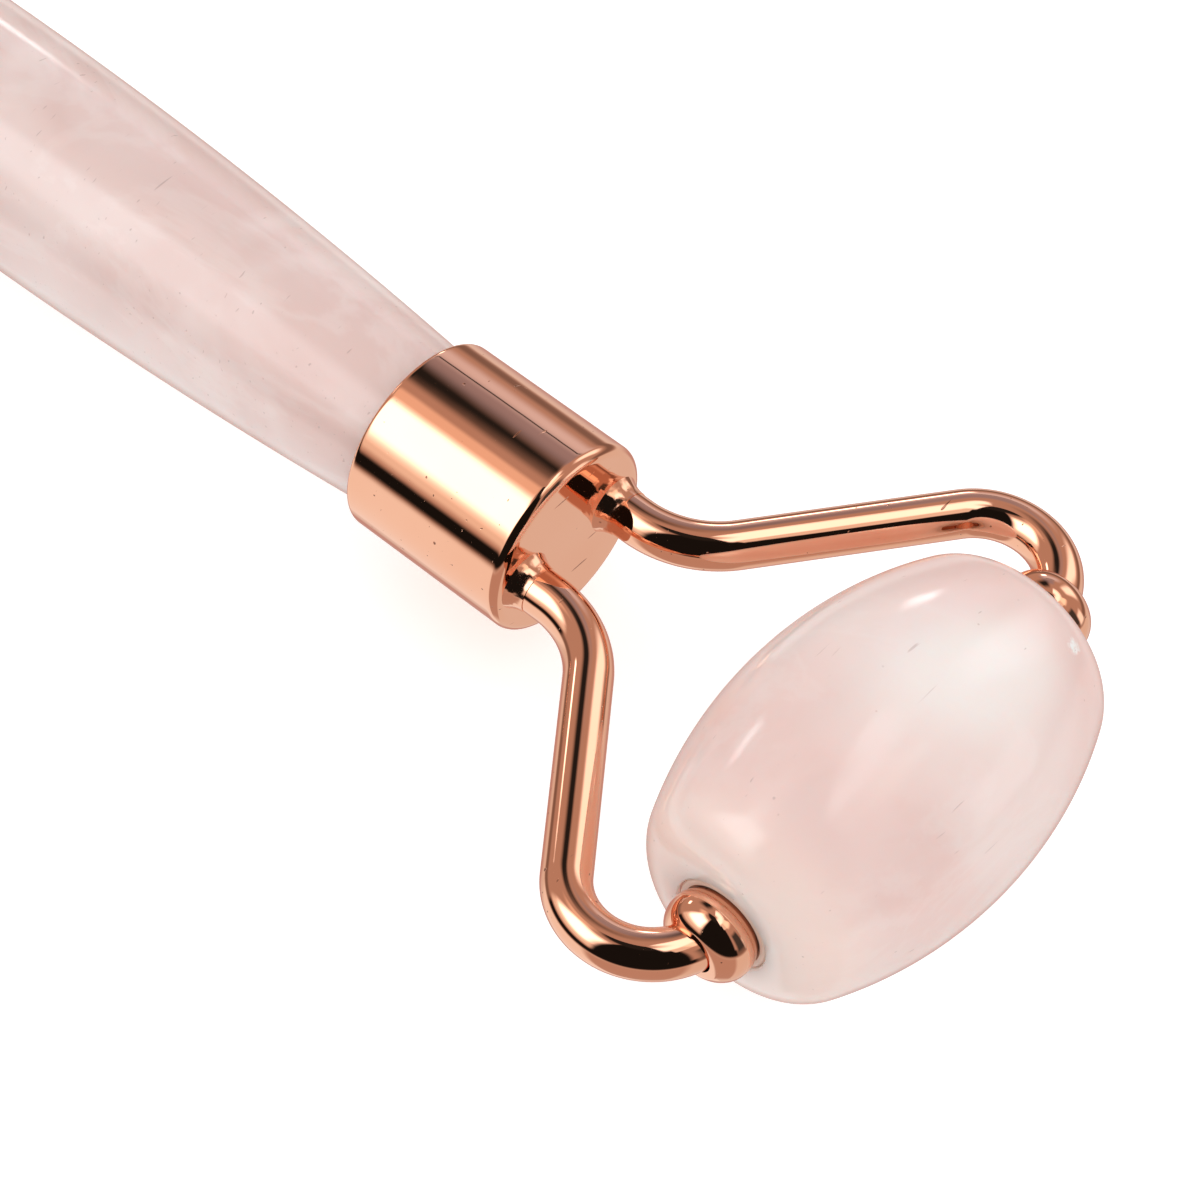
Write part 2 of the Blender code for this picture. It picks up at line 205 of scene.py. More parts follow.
swell = HANDLE_MIDDLE_RADIUS - HANDLE_END_RADIUS
bow_radius = (HANDLE_HALF ** 2 + swell ** 2) / (2 * swell)
spread = math.asin(HANDLE_HALF / bow_radius)
bow = arc((0.0, HANDLE_MIDDLE_RADIUS - bow_radius), bow_radius,
          math.pi / 2 + spread, math.pi / 2 - spread, HANDLE_STEPS)
tip = HANDLE_HALF + SPIGOT_LENGTH
spigot = [(tip - SPIGOT_CHAMFER, HANDLE_END_RADIUS),
          (tip, HANDLE_END_RADIUS - SPIGOT_CHAMFER), (tip, 0.0)]
handle_profile = [(-t, r) for t, r in reversed(spigot)] + bow + spigot
spindle = turn_profile("spindle_handle", handle_profile, (1, 0, 0), HANDLE_SIDES)
put(spindle, (HANDLE_X, 0.0, AXIS_HEIGHT))
spindle.data.materials.append(rose_quartz)
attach(spindle, "handle_and_arms")
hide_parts("handle")


# Ferrules
# Deep-drawn brass cups, plated rose gold and mirror-polished, one glued on each end of the handle.
# Each has two holes in its end plate, where the feet of the arms go in.

AXLE_X = {"large": 68.025 * MM, "small": -69.775 * MM}
HEAD_TURN = {"large": 0.0, "small": math.pi}
REACH = {"large": 22.2 * MM, "small": 19.0 * MM}
FERRULE_LENGTH = 11.3 * MM
FERRULE_RADIUS = 6.0 * MM
FERRULE_BORE = 5.25 * MM
FERRULE_SIDES = 128
END_PLATE = 1.2 * MM
FACE_RING = 4.2 * MM
FRONT_ROUNDING = 0.6 * MM
RIM_ROUNDING = 0.3 * MM
EDGE_STRIP = 0.12 * MM
FRONT_STEPS = 12
RIM_STEPS = 8
LEG_PLACE = 3.65 * MM
WIRE_RADIUS = 1.385 * MM
WIRE_SIDES = 48
HOLE_PLAY = 0.1 * MM
DRILL_LENGTH = 4.0 * MM
DRILL_GAP = 0.002 * MM

# Rose-gold plate on polished metal: a mirror with a peach tint, hardly blurred, whose reflections
# waver a little because the drawn metal isn't quite even. A few pin pricks and fine scratches show.
rose_gold = bpy.data.materials.new("polished_rose_gold_plate")
tree, shader, place = open_material(rose_gold)
prick_cells = add_node(tree, "TexVoronoi", {"Vector": place, "Scale": 1 / (1.3 * MM)})
prick_spot = add_node(tree, "MapRange", {
    0: prick_cells.outputs["Distance"], 1: 0.05, 2: 0.085, 3: 1.0, 4: 0.0}).outputs[0]
prick_patch = add_node(tree, "TexNoise", {
    "Vector": place, "Scale": 1 / (3 * MM), "Detail": 2.0}).outputs[0]
prick_some = add_node(tree, "MapRange", {0: prick_patch, 1: 0.57, 2: 0.62}).outputs[0]
prick = add_node(tree, "Math", {0: prick_spot, 1: prick_some}, operation="MULTIPLY").outputs[0]
scratch_place = add_node(tree, "Mapping", {
    "Vector": place, "Rotation": (0.2, 0.6, 0.9), "Scale": (1.0, 0.11, 1.0)}).outputs[0]
scratch_noise = add_node(tree, "TexNoise", {
    "Vector": scratch_place, "Scale": 1 / (0.2 * MM), "Detail": 0.0}).outputs[0]
scratch = add_node(tree, "MapRange", {0: scratch_noise, 1: 0.83, 2: 0.88}).outputs[0]
flaw = add_node(tree, "Math", {0: scratch, 1: prick}, operation="MAXIMUM").outputs[0]
tint_noise = add_node(tree, "TexNoise", {
    "Vector": place, "Scale": 1 / (6 * MM), "Detail": 2.0}).outputs[0]
plate_tint = add_node(tree, "Mix", {0: tint_noise, 6: colour("#f3b594"), 7: colour("#f7c0a2")},
                      data_type="RGBA").outputs[2]
flaw_share = add_node(tree, "Math", {0: flaw, 1: 0.75}, operation="MULTIPLY").outputs[0]
plate_colour = add_node(tree, "Mix", {0: flaw_share, 6: plate_tint, 7: colour("#6b3f2e")},
                        data_type="RGBA").outputs[2]
tree.links.new(plate_colour, shader.inputs["Base Color"])
haze_noise = add_node(tree, "TexNoise", {
    "Vector": place, "Scale": 1 / (1.5 * MM), "Detail": 4.0}).outputs[0]
haze = add_node(tree, "MapRange", {0: haze_noise, 1: 0.3, 2: 0.75, 3: 0.02, 4: 0.05}).outputs[0]
tree.links.new(haze, shader.inputs["Roughness"])
waver_noise = add_node(tree, "TexNoise", {
    "Vector": place, "Scale": 1 / (1.8 * MM), "Detail": 1.0}).outputs[0]
waver_bump = add_node(tree, "Bump", {
    "Height": waver_noise, "Strength": 0.5, "Distance": 0.008 * MM}).outputs[0]
flaw_bump = add_node(tree, "Bump", {
    "Height": flaw, "Strength": 0.6, "Distance": 0.02 * MM, "Normal": waver_bump,
}, invert=True).outputs[0]
tree.links.new(flaw_bump, shader.inputs["Normal"])
shader.inputs["Metallic"].default_value = 1.0

for head in ("large", "small"):
    face = -REACH[head]
    rear = face - FERRULE_LENGTH
    front = arc((face - FRONT_ROUNDING, FERRULE_RADIUS - FRONT_ROUNDING), FRONT_ROUNDING,
                0.0, math.pi / 2, FRONT_STEPS)
    rim = arc((rear + RIM_ROUNDING, FERRULE_RADIUS - RIM_ROUNDING), RIM_ROUNDING,
              math.pi / 2, math.pi, RIM_STEPS)
    end_face = [(face, 0.0), (face, FACE_RING),
                (face, FERRULE_RADIUS - FRONT_ROUNDING - EDGE_STRIP)]
    wall = [(face - FRONT_ROUNDING - EDGE_STRIP, FERRULE_RADIUS),
            (rear + RIM_ROUNDING + EDGE_STRIP, FERRULE_RADIUS)]
    inside = [(rear, FERRULE_BORE), (face - END_PLATE, FERRULE_BORE), (face - END_PLATE, 0.0)]
    cup_profile = end_face + front + wall + rim + inside
    cup = turn_profile(f"{head}_ferrule_cup", cup_profile, (1, 0, 0), FERRULE_SIDES)
    for side in (1, -1):
        bpy.ops.object.select_all(action="DESELECT")
        bpy.ops.mesh.primitive_cylinder_add(
            vertices=WIRE_SIDES, radius=WIRE_RADIUS + HOLE_PLAY, depth=DRILL_LENGTH,
            location=(face, side * LEG_PLACE, 0.0), rotation=(0.0, math.pi / 2, 0.0))
        drill = bpy.context.object
        hole = cup.modifiers.new("leg_hole", "BOOLEAN")
        hole.object = drill
        hole.solver = "EXACT"
        pick(cup)
        bpy.ops.object.modifier_apply(modifier="leg_hole")
        bpy.data.objects.remove(drill)
    bpy.ops.object.mode_set(mode="EDIT")
    bpy.ops.mesh.select_all(action="SELECT")
    bpy.ops.mesh.remove_doubles(threshold=DRILL_GAP)
    bpy.ops.mesh.dissolve_degenerate(threshold=DRILL_GAP)
    bpy.ops.object.mode_set(mode="OBJECT")
    bpy.ops.object.shade_smooth_by_angle(angle=SMOOTH_ANGLE)
    put(cup, (AXLE_X[head], 0.0, AXIS_HEIGHT), HEAD_TURN[head])
    cup.data.materials.clear()
    cup.data.materials.append(rose_gold)
    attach(cup, "handle_and_arms")
    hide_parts(f"{head}_ferrule")


# Adhesive
# A pad of two-part epoxy inside each ferrule, which holds the feet of the arms and the handle's
# spigot. It is poured in and sets, slightly yellow and cloudy with small bubbles.
# The solid's own shape stays.

set_epoxy = bpy.data.materials.new("set_epoxy_glue")
tree, shader, place = open_material(set_epoxy)
swirl = add_node(tree, "TexNoise", {
    "Vector": place, "Scale": 1 / (2 * MM), "Detail": 3.0}).outputs[0]
bubbles = add_node(tree, "TexVoronoi", {
    "Vector": place, "Scale": 1 / (0.6 * MM)}).outputs["Distance"]
glue_colour = add_node(tree, "Mix", {0: swirl, 6: colour("#c9b284"), 7: colour("#dccda8")},
                       data_type="RGBA").outputs[2]
tree.links.new(glue_colour, shader.inputs["Base Color"])
glue_bump = add_node(tree, "Bump", {
    "Height": bubbles, "Strength": 0.4, "Distance": 0.05 * MM}).outputs[0]
tree.links.new(glue_bump, shader.inputs["Normal"])
shader.inputs["Roughness"].default_value = 0.3
shader.inputs["IOR"].default_value = 1.55
for head in ("large", "small"):
    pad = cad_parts[f"{head}_adhesive"]
    pad.data.materials.clear()
    pad.data.materials.append(set_epoxy)


# Arms
# Round wire, bent on a former in two bends and plated with the ferrules: out of the ferrule, apart,
# then round to the axle. Its end is turned down to a pin of bare copper alloy, where the stone runs.

FOOT_DEPTH = 4.45 * MM
LEG_STRAIGHT = 1.8 * MM
LEG_BEND = {"large": 6.45 * MM, "small": 5.6 * MM}
PIN_BEND = {"large": 4.3 * MM, "small": 3.8 * MM}
LEG_BEND_STEPS = 24
PIN_BEND_STEPS = 48
DISH_FLOOR = {"large": 11.45 * MM, "small": 8.3 * MM}
COLLAR_INNER = {"large": 12.35 * MM, "small": 9.2 * MM}
WIRE_STRAIGHT_IN_COLLAR = 1.3 * MM
PIN_RADIUS = 1.225 * MM
PIN_DEPTH = 5.0 * MM
PIN_TIP = 0.2 * MM
PIN_TIP_SHARE = 0.84
NEAR = 0.001 * MM

# Turned copper alloy, left bare: redder than the plate, matt, with fine grain from the tool.
bare_copper = bpy.data.materials.new("turned_bare_copper")
tree, shader, place = open_material(bare_copper)
grain = add_node(tree, "TexNoise", {
    "Vector": place, "Scale": 1 / (0.12 * MM), "Detail": 2.0}).outputs[0]
stain = add_node(tree, "TexNoise", {
    "Vector": place, "Scale": 1 / (0.9 * MM), "Detail": 2.0}).outputs[0]
copper_mix = add_node(tree, "Mix", {0: stain, 6: colour("#c98462"), 7: colour("#e3a685")},
                      data_type="RGBA").outputs[2]
tree.links.new(copper_mix, shader.inputs["Base Color"])
copper_rough = add_node(tree, "MapRange", {0: grain, 1: 0.3, 2: 0.7, 3: 0.32, 4: 0.55}).outputs[0]
tree.links.new(copper_rough, shader.inputs["Roughness"])
copper_bump = add_node(tree, "Bump", {
    "Height": grain, "Strength": 0.7, "Distance": 0.02 * MM}).outputs[0]
tree.links.new(copper_bump, shader.inputs["Normal"])
shader.inputs["Metallic"].default_value = 1.0


def extrude(step):
    """Extrude what is selected, and move the new end by a step."""
    bpy.ops.mesh.extrude_region_move(TRANSFORM_OT_translate={"value": step})


def turned_copy(piece, name):
    """A copy with its own mesh, turned half round the handle's axis to the other side."""
    pick(piece)
    bpy.ops.object.duplicate(linked=False)
    copy = bpy.context.object
    copy.name = copy.data.name = name
    copy.rotation_euler = (math.pi, 0.0, 0.0)
    bpy.ops.object.transform_apply(location=True, rotation=True, scale=True)
    return copy


for head in ("large", "small"):
    leg_end = -REACH[head] + LEG_STRAIGHT
    pin_start = COLLAR_INNER[head] + WIRE_STRAIGHT_IN_COLLAR
    leg_centre = Vector((leg_end, LEG_PLACE + LEG_BEND[head], 0.0))
    pin_centre = Vector((-PIN_BEND[head], pin_start, 0.0))
    between = pin_centre - leg_centre
    lean_in = math.asin((LEG_BEND[head] + PIN_BEND[head]) / between.length)
    slope = math.atan2(between.y, between.x) + lean_in
    square = Vector((-math.sin(slope), math.cos(slope), 0.0))
    slant_start = leg_centre - square * LEG_BEND[head]
    slant_end = pin_centre + square * PIN_BEND[head]
    foot = Vector((-REACH[head] - FOOT_DEPTH, LEG_PLACE, 0.0))
    shoulder = (0.0, COLLAR_INNER[head], 0.0)
    pin_end = (0.0, DISH_FLOOR[head] - PIN_DEPTH, 0.0)
    pin_length = COLLAR_INNER[head] - DISH_FLOOR[head] + PIN_DEPTH
    bpy.ops.object.select_all(action="DESELECT")
    bpy.ops.mesh.primitive_circle_add(vertices=WIRE_SIDES, radius=WIRE_RADIUS, location=foot,
                                      rotation=(0.0, math.pi / 2, 0.0))
    bpy.ops.object.transform_apply(location=True, rotation=True, scale=True)
    wire = bpy.context.object
    wire.name = wire.data.name = f"{head}_left_wire"
    bpy.ops.object.mode_set(mode="EDIT")
    bpy.ops.mesh.select_all(action="SELECT")
    extrude((leg_end - foot.x, 0.0, 0.0))
    bpy.ops.mesh.spin(steps=LEG_BEND_STEPS, angle=-slope, center=leg_centre, axis=(0, 0, 1))
    extrude(slant_end - slant_start)
    bpy.ops.mesh.spin(steps=PIN_BEND_STEPS, angle=math.pi / 2 + slope, center=pin_centre,
                      axis=(0, 0, 1))
    extrude((0.0, -WIRE_STRAIGHT_IN_COLLAR, 0.0))
    extrude((0.0, 0.0, 0.0))
    bpy.ops.transform.resize(value=(PIN_RADIUS / WIRE_RADIUS,) * 3, center_override=shoulder)
    extrude((0.0, PIN_TIP - pin_length, 0.0))
    extrude((0.0, -PIN_TIP, 0.0))
    bpy.ops.transform.resize(value=(PIN_TIP_SHARE,) * 3, center_override=pin_end)
    bpy.ops.mesh.edge_face_add()
    bpy.ops.mesh.select_all(action="DESELECT")
    foot_mesh = bmesh.from_edit_mesh(wire.data)
    for vert in foot_mesh.verts:
        vert.select = abs(vert.co.x - foot.x) < NEAR
    foot_mesh.select_flush(True)
    bpy.ops.mesh.edge_face_add()
    bpy.ops.mesh.select_all(action="SELECT")
    bpy.ops.mesh.remove_doubles(threshold=SEAM_GAP)
    bpy.ops.mesh.normals_make_consistent(inside=False)
    bpy.ops.object.mode_set(mode="OBJECT")
    bpy.ops.object.shade_smooth_by_angle(angle=SMOOTH_ANGLE)
    wire.data.materials.append(rose_gold)
    wire.data.materials.append(bare_copper)
    for facet in wire.data.polygons:
        beside_axle = abs(facet.center.x) < 2 * PIN_RADIUS
        on_pin = beside_axle and facet.center.y < COLLAR_INNER[head] + NEAR
        facet.material_index = 1 if on_pin else 0
    other = turned_copy(wire, f"{head}_right_wire")
    for side_name, arm in (("left", wire), ("right", other)):
        put(arm, (AXLE_X[head], 0.0, AXIS_HEIGHT), HEAD_TURN[head])
        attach(arm, "handle_and_arms")
        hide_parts(f"{head}_{side_name}_arm")


# Solder rings
# Where each arm leaves its ferrule, solder has run up round the wire and set in a hollow flare.
# It is plated over with the rest, so it shows as a soft shoulder between wire and plate.

SOLDER_FOOT = 1.8 * MM
SOLDER_LIP = 1.43 * MM
SOLDER_HEIGHT = 1.1 * MM
SOLDER_STEPS = 12

# Plated solder: the same rose gold, a little duller and lumpier, because solder sets uneven.
plated_solder = rose_gold.copy()
plated_solder.name = "plated_solder"
tree, shader, place = open_material(plated_solder)
lump = add_node(tree, "TexNoise", {
    "Vector": place, "Scale": 1 / (0.65 * MM), "Detail": 1.0}).outputs[0]
lump_bump = add_node(tree, "Bump", {
    "Height": lump, "Strength": 0.7, "Distance": 0.09 * MM}).outputs[0]
tree.links.new(lump_bump, shader.inputs["Normal"])
dull = add_node(tree, "MapRange", {0: lump, 1: 0.3, 2: 0.7, 3: 0.16, 4: 0.06}).outputs[0]
tree.links.new(dull, shader.inputs["Roughness"])

for head in ("large", "small"):
    base = -REACH[head]
    top = base + SOLDER_HEIGHT
    flare = [(base + SOLDER_HEIGHT * i / SOLDER_STEPS,
              SOLDER_LIP + (SOLDER_FOOT - SOLDER_LIP) * (1 - i / SOLDER_STEPS) ** 2)
             for i in range(SOLDER_STEPS + 1)]
    ring_profile = [(base, WIRE_RADIUS)] + flare + [(top, WIRE_RADIUS), (base, WIRE_RADIUS)]
    ring = turn_profile(f"{head}_left_solder", ring_profile, (1, 0, 0), WIRE_SIDES,
                        (0.0, LEG_PLACE, 0.0))
    ring.data.materials.append(plated_solder)
    other = turned_copy(ring, f"{head}_right_solder")
    for side_name, solder in (("left", ring), ("right", other)):
        put(solder, (AXLE_X[head], 0.0, AXIS_HEIGHT), HEAD_TURN[head])
        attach(solder, "handle_and_arms")
        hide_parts(f"{head}_{side_name}_solder_ring")


# Collars
# Round metal beads, threaded on the end of each arm and soldered there before plating.
# They keep the stone on its pins and off the bend of the wire.

COLLAR_RADIUS = 2.65 * MM
COLLAR_HALF = 1.6 * MM
COLLAR_STEPS = 40
COLLAR_CUT = 5
COLLAR_SIDES = 64

for head in ("large", "small"):
    middle = COLLAR_INNER[head] + COLLAR_HALF
    bulge = arc((middle, COLLAR_RADIUS - COLLAR_HALF), COLLAR_HALF, math.pi, 0.0, COLLAR_STEPS)
    bulge = bulge[COLLAR_CUT:-COLLAR_CUT]
    near_end, far_end = (bulge[0][0], PIN_RADIUS), (bulge[-1][0], PIN_RADIUS)
    bead_profile = [near_end] + bulge + [far_end, near_end]
    bead = turn_profile(f"{head}_left_bead", bead_profile, (0, 1, 0), COLLAR_SIDES)
    bead.data.materials.append(rose_gold)
    other = turned_copy(bead, f"{head}_right_bead")
    for side_name, collar in (("left", bead), ("right", other)):
        put(collar, (AXLE_X[head], 0.0, AXIS_HEIGHT), HEAD_TURN[head])
        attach(collar, "handle_and_arms")
        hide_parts(f"{head}_{side_name}_collar")


# Roller stones
# Barrels of rose quartz, ground on a wheel, bored through and tumbled to a polish.
# The bore has a shallow seat at both ends for a bush, and each stone floats a little on its pins.

STONE_RADIUS = {"large": 8.98 * MM, "small": 7.235 * MM}
STONE_HALF = {"large": 12.65 * MM, "small": 9.5 * MM}
CROWN_RADIUS = {"large": 25.7 * MM, "small": 19.5 * MM}
END_ROUNDING = {"large": 3.8 * MM, "small": 2.8 * MM}
SLIDE = {"large": -0.5 * MM, "small": 0.2 * MM}
STONE_BORE = 2.275 * MM
SEAT_RADIUS = 2.9 * MM
SEAT_DEPTH = 0.5 * MM
SEAT_CHAMFER = 0.08 * MM
CROWN_STEPS = 64
ROUNDING_STEPS = 20
STONE_SIDES = 144

# The same quartz as the handle's, paler, with broad soft clouds. A milky cloud lies just under the
# top of the large stone, whiter there partly as a painted highlight of the overhead light. One end
# is pinker, and the other end is painted paler, as painted light that lifts the shade of the bead
# and arm. A small chip has left a white bruise near the pinker end of the large stone.
pale_quartz = rose_quartz.copy()
pale_quartz.name = "polished_pale_rose_quartz"
tree, shader, place = open_material(pale_quartz)
for node_name, socket, value in (
        ("cloud_noise", "Scale", 1 / (17 * MM)),
        ("cloud_noise", "Detail", 1.5),
        ("blush_place", "Scale", (1.0, 1.0, 1.0)),
        ("blush_noise", "Detail", 4.0),
        ("blush_noise", "Roughness", 0.55),
        ("blush_noise", "Distortion", 0.9),
        ("blush", 1, 0.46),
        ("veil", 3, 0.14),
        ("hair", 1, 0.845),
        ("hair", 2, 0.895),
        ("body_tint", 6, colour("#edd4ce")),
        ("body_tint", 7, colour("#e9c8c0")),
        ("clouded", 7, colour("#f1e0db")),
        ("veiled", 7, colour("#f6ece8")),
        ("marked", 7, colour("#b59893"))):
    tree.nodes[node_name].inputs[socket].default_value = value
# A milky cloud just under the top of the large stone, painted whiter there partly as a painted
# highlight of the overhead light.
milk_highlight_place = add_node(tree, "Mapping", {
    "Vector": place, "Location": (70.5 * MM, 2.5 * MM, 17.0 * MM), "Rotation": (0.0, 0.0, -0.5),
    "Scale": (5.0 * MM, 8.0 * MM, 6.0 * MM)}, vector_type="TEXTURE").outputs[0]
milk_highlight_ball = add_node(tree, "TexGradient", {"Vector": milk_highlight_place},
                      gradient_type="SPHERICAL").outputs[1]
milk_highlight = add_node(tree, "MapRange", {0: milk_highlight_ball, 1: 0.0, 2: 0.75, 3: 0.0, 4: 0.85},
                 interpolation_type="SMOOTHSTEP").outputs[0]
along_axle = add_node(tree, "SeparateXYZ", {0: place}).outputs["Y"]
pink_end = add_node(tree, "MapRange", {
    0: along_axle, 1: 1.0 * MM, 2: 12.0 * MM, 3: 0.0, 4: 0.55},
    interpolation_type="SMOOTHSTEP").outputs[0]
plain = tree.nodes["veiled"].outputs[2]
pinker = add_node(tree, "Mix", {0: pink_end, 6: plain, 7: colour("#eecdc6")},
                  data_type="RGBA").outputs[2]
# Painted light: the -Y end of each stone is painted paler, to lift the shade that the bead, the arm
# and the floor cast there.
painted_fill_end = add_node(tree, "MapRange", {
    0: along_axle, 1: -12.5 * MM, 2: -8.5 * MM, 3: 0.75, 4: 0.0},
    interpolation_type="SMOOTHSTEP").outputs[0]
fill_painted = add_node(tree, "Mix", {0: painted_fill_end, 6: pinker, 7: colour("#f8ddd4")},
                 data_type="RGBA").outputs[2]
milk_highlighted = add_node(tree, "Mix", {0: milk_highlight, 6: fill_painted, 7: colour("#f6eeea")},
                 data_type="RGBA").outputs[2]
chip_place = add_node(tree, "Mapping", {
    "Vector": place, "Location": (72.4 * MM, 9.5 * MM, 14.4 * MM), "Scale": (0.95 * MM,) * 3,
}, vector_type="TEXTURE").outputs[0]
chip_ball = add_node(tree, "TexGradient", {"Vector": chip_place},
                     gradient_type="SPHERICAL").outputs[1]
chip_grain = add_node(tree, "TexNoise", {
    "Vector": place, "Scale": 1 / (0.25 * MM), "Detail": 3.0}).outputs[0]
chip_ragged = add_node(tree, "Math", {0: chip_ball, 1: chip_grain}, operation="MULTIPLY").outputs[0]
chip = add_node(tree, "MapRange", {0: chip_ragged, 1: 0.2, 2: 0.44, 3: 0.0, 4: 0.75}).outputs[0]
bruised = add_node(tree, "Mix", {0: chip, 6: milk_highlighted, 7: colour("#fffdfb")},
                   data_type="RGBA").outputs[2]
tree.links.new(bruised, tree.nodes["marked"].inputs[6])
shader.inputs["Subsurface Weight"].default_value = 0.9
shader.inputs["Subsurface Scale"].default_value = 4.5 * MM

for head in ("large", "small"):
    crown_centre = STONE_RADIUS[head] - CROWN_RADIUS[head]
    rounding_place = STONE_HALF[head] - END_ROUNDING[head]
    rise = math.sqrt((CROWN_RADIUS[head] - END_ROUNDING[head]) ** 2 - rounding_place ** 2)
    meet = math.atan2(rise, rounding_place)
    crown = arc((0.0, crown_centre), CROWN_RADIUS[head], math.pi - meet, meet, CROWN_STEPS)
    right = arc((rounding_place, crown_centre + rise), END_ROUNDING[head], meet, 0.0,
                ROUNDING_STEPS)[1:]
    left = [(-t, r) for t, r in reversed(right)]
    seat = STONE_HALF[head] - SEAT_DEPTH
    mouth = [(STONE_HALF[head], SEAT_RADIUS + SEAT_CHAMFER),
             (STONE_HALF[head] - SEAT_CHAMFER, SEAT_RADIUS),
             (seat, SEAT_RADIUS), (seat, STONE_BORE)]
    far_mouth = [(-t, r) for t, r in reversed(mouth)]
    stone_profile = left + crown + right + mouth + far_mouth + [left[0]]
    stone = turn_profile(f"{head}_quartz_barrel", stone_profile, (0, 1, 0), STONE_SIDES,
                         (0.0, SLIDE[head], 0.0))
    put(stone, (AXLE_X[head], 0.0, AXIS_HEIGHT), HEAD_TURN[head])
    stone.data.materials.append(pale_quartz)
    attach(stone, f"{head}_roller")
    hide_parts(f"{head}_roller_stone")


# Bushes
# Short sleeves of moulded nylon with a dished flange, pressed into the ends of each stone's bore.
# They run on the pins, and their flanges show as a beige ring round the bead.

BUSH_BORE = 1.425 * MM
BUSH_RADIUS = 2.175 * MM
BUSH_LENGTH = 6.5 * MM
BUSH_RIM = 0.35 * MM
BUSH_SIDES = 64
DISH_INNER = 1.8 * MM
DISH_OUTER = 2.5 * MM
FLANGE_RADIUS = 2.86 * MM
FLANGE_DROP = 0.12 * MM
FLANGE_CHAMFER = 0.1 * MM
SEAT_PLAY = 0.03 * MM

# Natural nylon: beige, waxy and slightly see-through, with faint flow marks from the mould.
natural_nylon = bpy.data.materials.new("moulded_natural_nylon")
tree, shader, place = open_material(natural_nylon)
flow = add_node(tree, "TexNoise", {
    "Vector": place, "Scale": 1 / (0.8 * MM), "Detail": 2.0}).outputs[0]
nylon_colour = add_node(tree, "Mix", {0: flow, 6: colour("#dcbfae"), 7: colour("#ead6c9")},
                        data_type="RGBA").outputs[2]
tree.links.new(nylon_colour, shader.inputs["Base Color"])
flow_bump = add_node(tree, "Bump", {
    "Height": flow, "Strength": 0.3, "Distance": 0.02 * MM}).outputs[0]
tree.links.new(flow_bump, shader.inputs["Normal"])
shader.inputs["Roughness"].default_value = 0.42
shader.inputs["IOR"].default_value = 1.53
shader.inputs["Subsurface Weight"].default_value = 0.2
shader.inputs["Subsurface Radius"].default_value = (1.0, 0.7, 0.5)
shader.inputs["Subsurface Scale"].default_value = 0.6 * MM

for head in ("large", "small"):
    rim = DISH_FLOOR[head] + BUSH_RIM
    top = STONE_HALF[head] - FLANGE_DROP
    under = STONE_HALF[head] - SEAT_DEPTH + SEAT_PLAY
    inner = DISH_FLOOR[head] - BUSH_LENGTH
    dish = [(rim, BUSH_BORE), (rim, DISH_INNER), (top, DISH_OUTER)]
    flange = [(top, FLANGE_RADIUS - FLANGE_CHAMFER), (top - FLANGE_CHAMFER, FLANGE_RADIUS),
              (under, FLANGE_RADIUS)]
    tube = [(under, BUSH_RADIUS), (inner, BUSH_RADIUS), (inner, BUSH_BORE), (rim, BUSH_BORE)]
    sleeve = turn_profile(f"{head}_left_sleeve", dish + flange + tube, (0, 1, 0), BUSH_SIDES)
    sleeve.data.materials.append(natural_nylon)
    other = turned_copy(sleeve, f"{head}_right_sleeve")
    for side_name, bush in (("left", sleeve), ("right", other)):
        put(bush, (0.0, SLIDE[head], 0.0))
        put(bush, (AXLE_X[head], 0.0, AXIS_HEIGHT), HEAD_TURN[head])
        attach(bush, f"{head}_roller")
        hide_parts(f"{head}_{side_name}_bush")


# Floor
# A plain round table top of white laminate, just below the stones. It leans under both rollers,
# because the small one is thinner. Its light on the object comes with the studio's, from below, so
# that only the camera sees the table itself.

FLOOR_RADIUS = 112 * MM
FLOOR_SIDES = 96
FLOOR_DROP = 9.02 * MM
FLOOR_GLOW = 0.38
axle_gap = AXLE_X["large"] - AXLE_X["small"]
lean = math.asin((STONE_RADIUS["large"] - STONE_RADIUS["small"]) / axle_gap)

# White laminate: matt, with a faint cloudiness. It glows a little, so that its shadows stay pale.
white_laminate = bpy.data.materials.new("matt_white_laminate")
tree, shader, place = open_material(white_laminate)
faint = add_node(tree, "TexNoise", {
    "Vector": place, "Scale": 1 / (60 * MM), "Detail": 2.0}).outputs[0]
laminate_colour = add_node(tree, "Mix", {0: faint, 6: colour("#f6f5f4"), 7: colour("#fbfafa")},
                           data_type="RGBA").outputs[2]
tree.links.new(laminate_colour, shader.inputs["Base Color"])
shader.inputs["Roughness"].default_value = 0.9
shader.inputs["Specular IOR Level"].default_value = 0.1
shader.inputs["Emission Color"].default_value = colour("#ffffff")
shader.inputs["Emission Strength"].default_value = FLOOR_GLOW

bpy.ops.object.select_all(action="DESELECT")
bpy.ops.mesh.primitive_circle_add(vertices=FLOOR_SIDES, radius=FLOOR_RADIUS, fill_type="NGON",
                                  location=(0.0, 0.0, 0.0))
table = bpy.context.object
table.name = table.data.name = "white_table"
table.data.materials.append(white_laminate)
table.rotation_euler = (0.0, lean, 0.0)
below_axle = Matrix.Rotation(lean, 3, "Y") @ Vector((-AXLE_X["large"], 0.0, -FLOOR_DROP))
table.location = Vector((AXLE_X["large"], 0.0, AXIS_HEIGHT)) + below_axle
table.visible_glossy = False
table.visible_diffuse = False


# Light
# A studio with one large soft box to the left of the camera, panels and small lamps round the back,
# a light overhead, and darkness on the camera's side. The polish shows them as bands and spots.
# The matt and cloudy surfaces are lit by the even light of a white tent, dimmer from below.

TENT_BELOW = 0.82
TENT_ABOVE = 1.03
TENT_ANGLE = math.radians(60)
ROOM_GLOW = 0.52
ROOM_COLOUR = "#ffdccd"
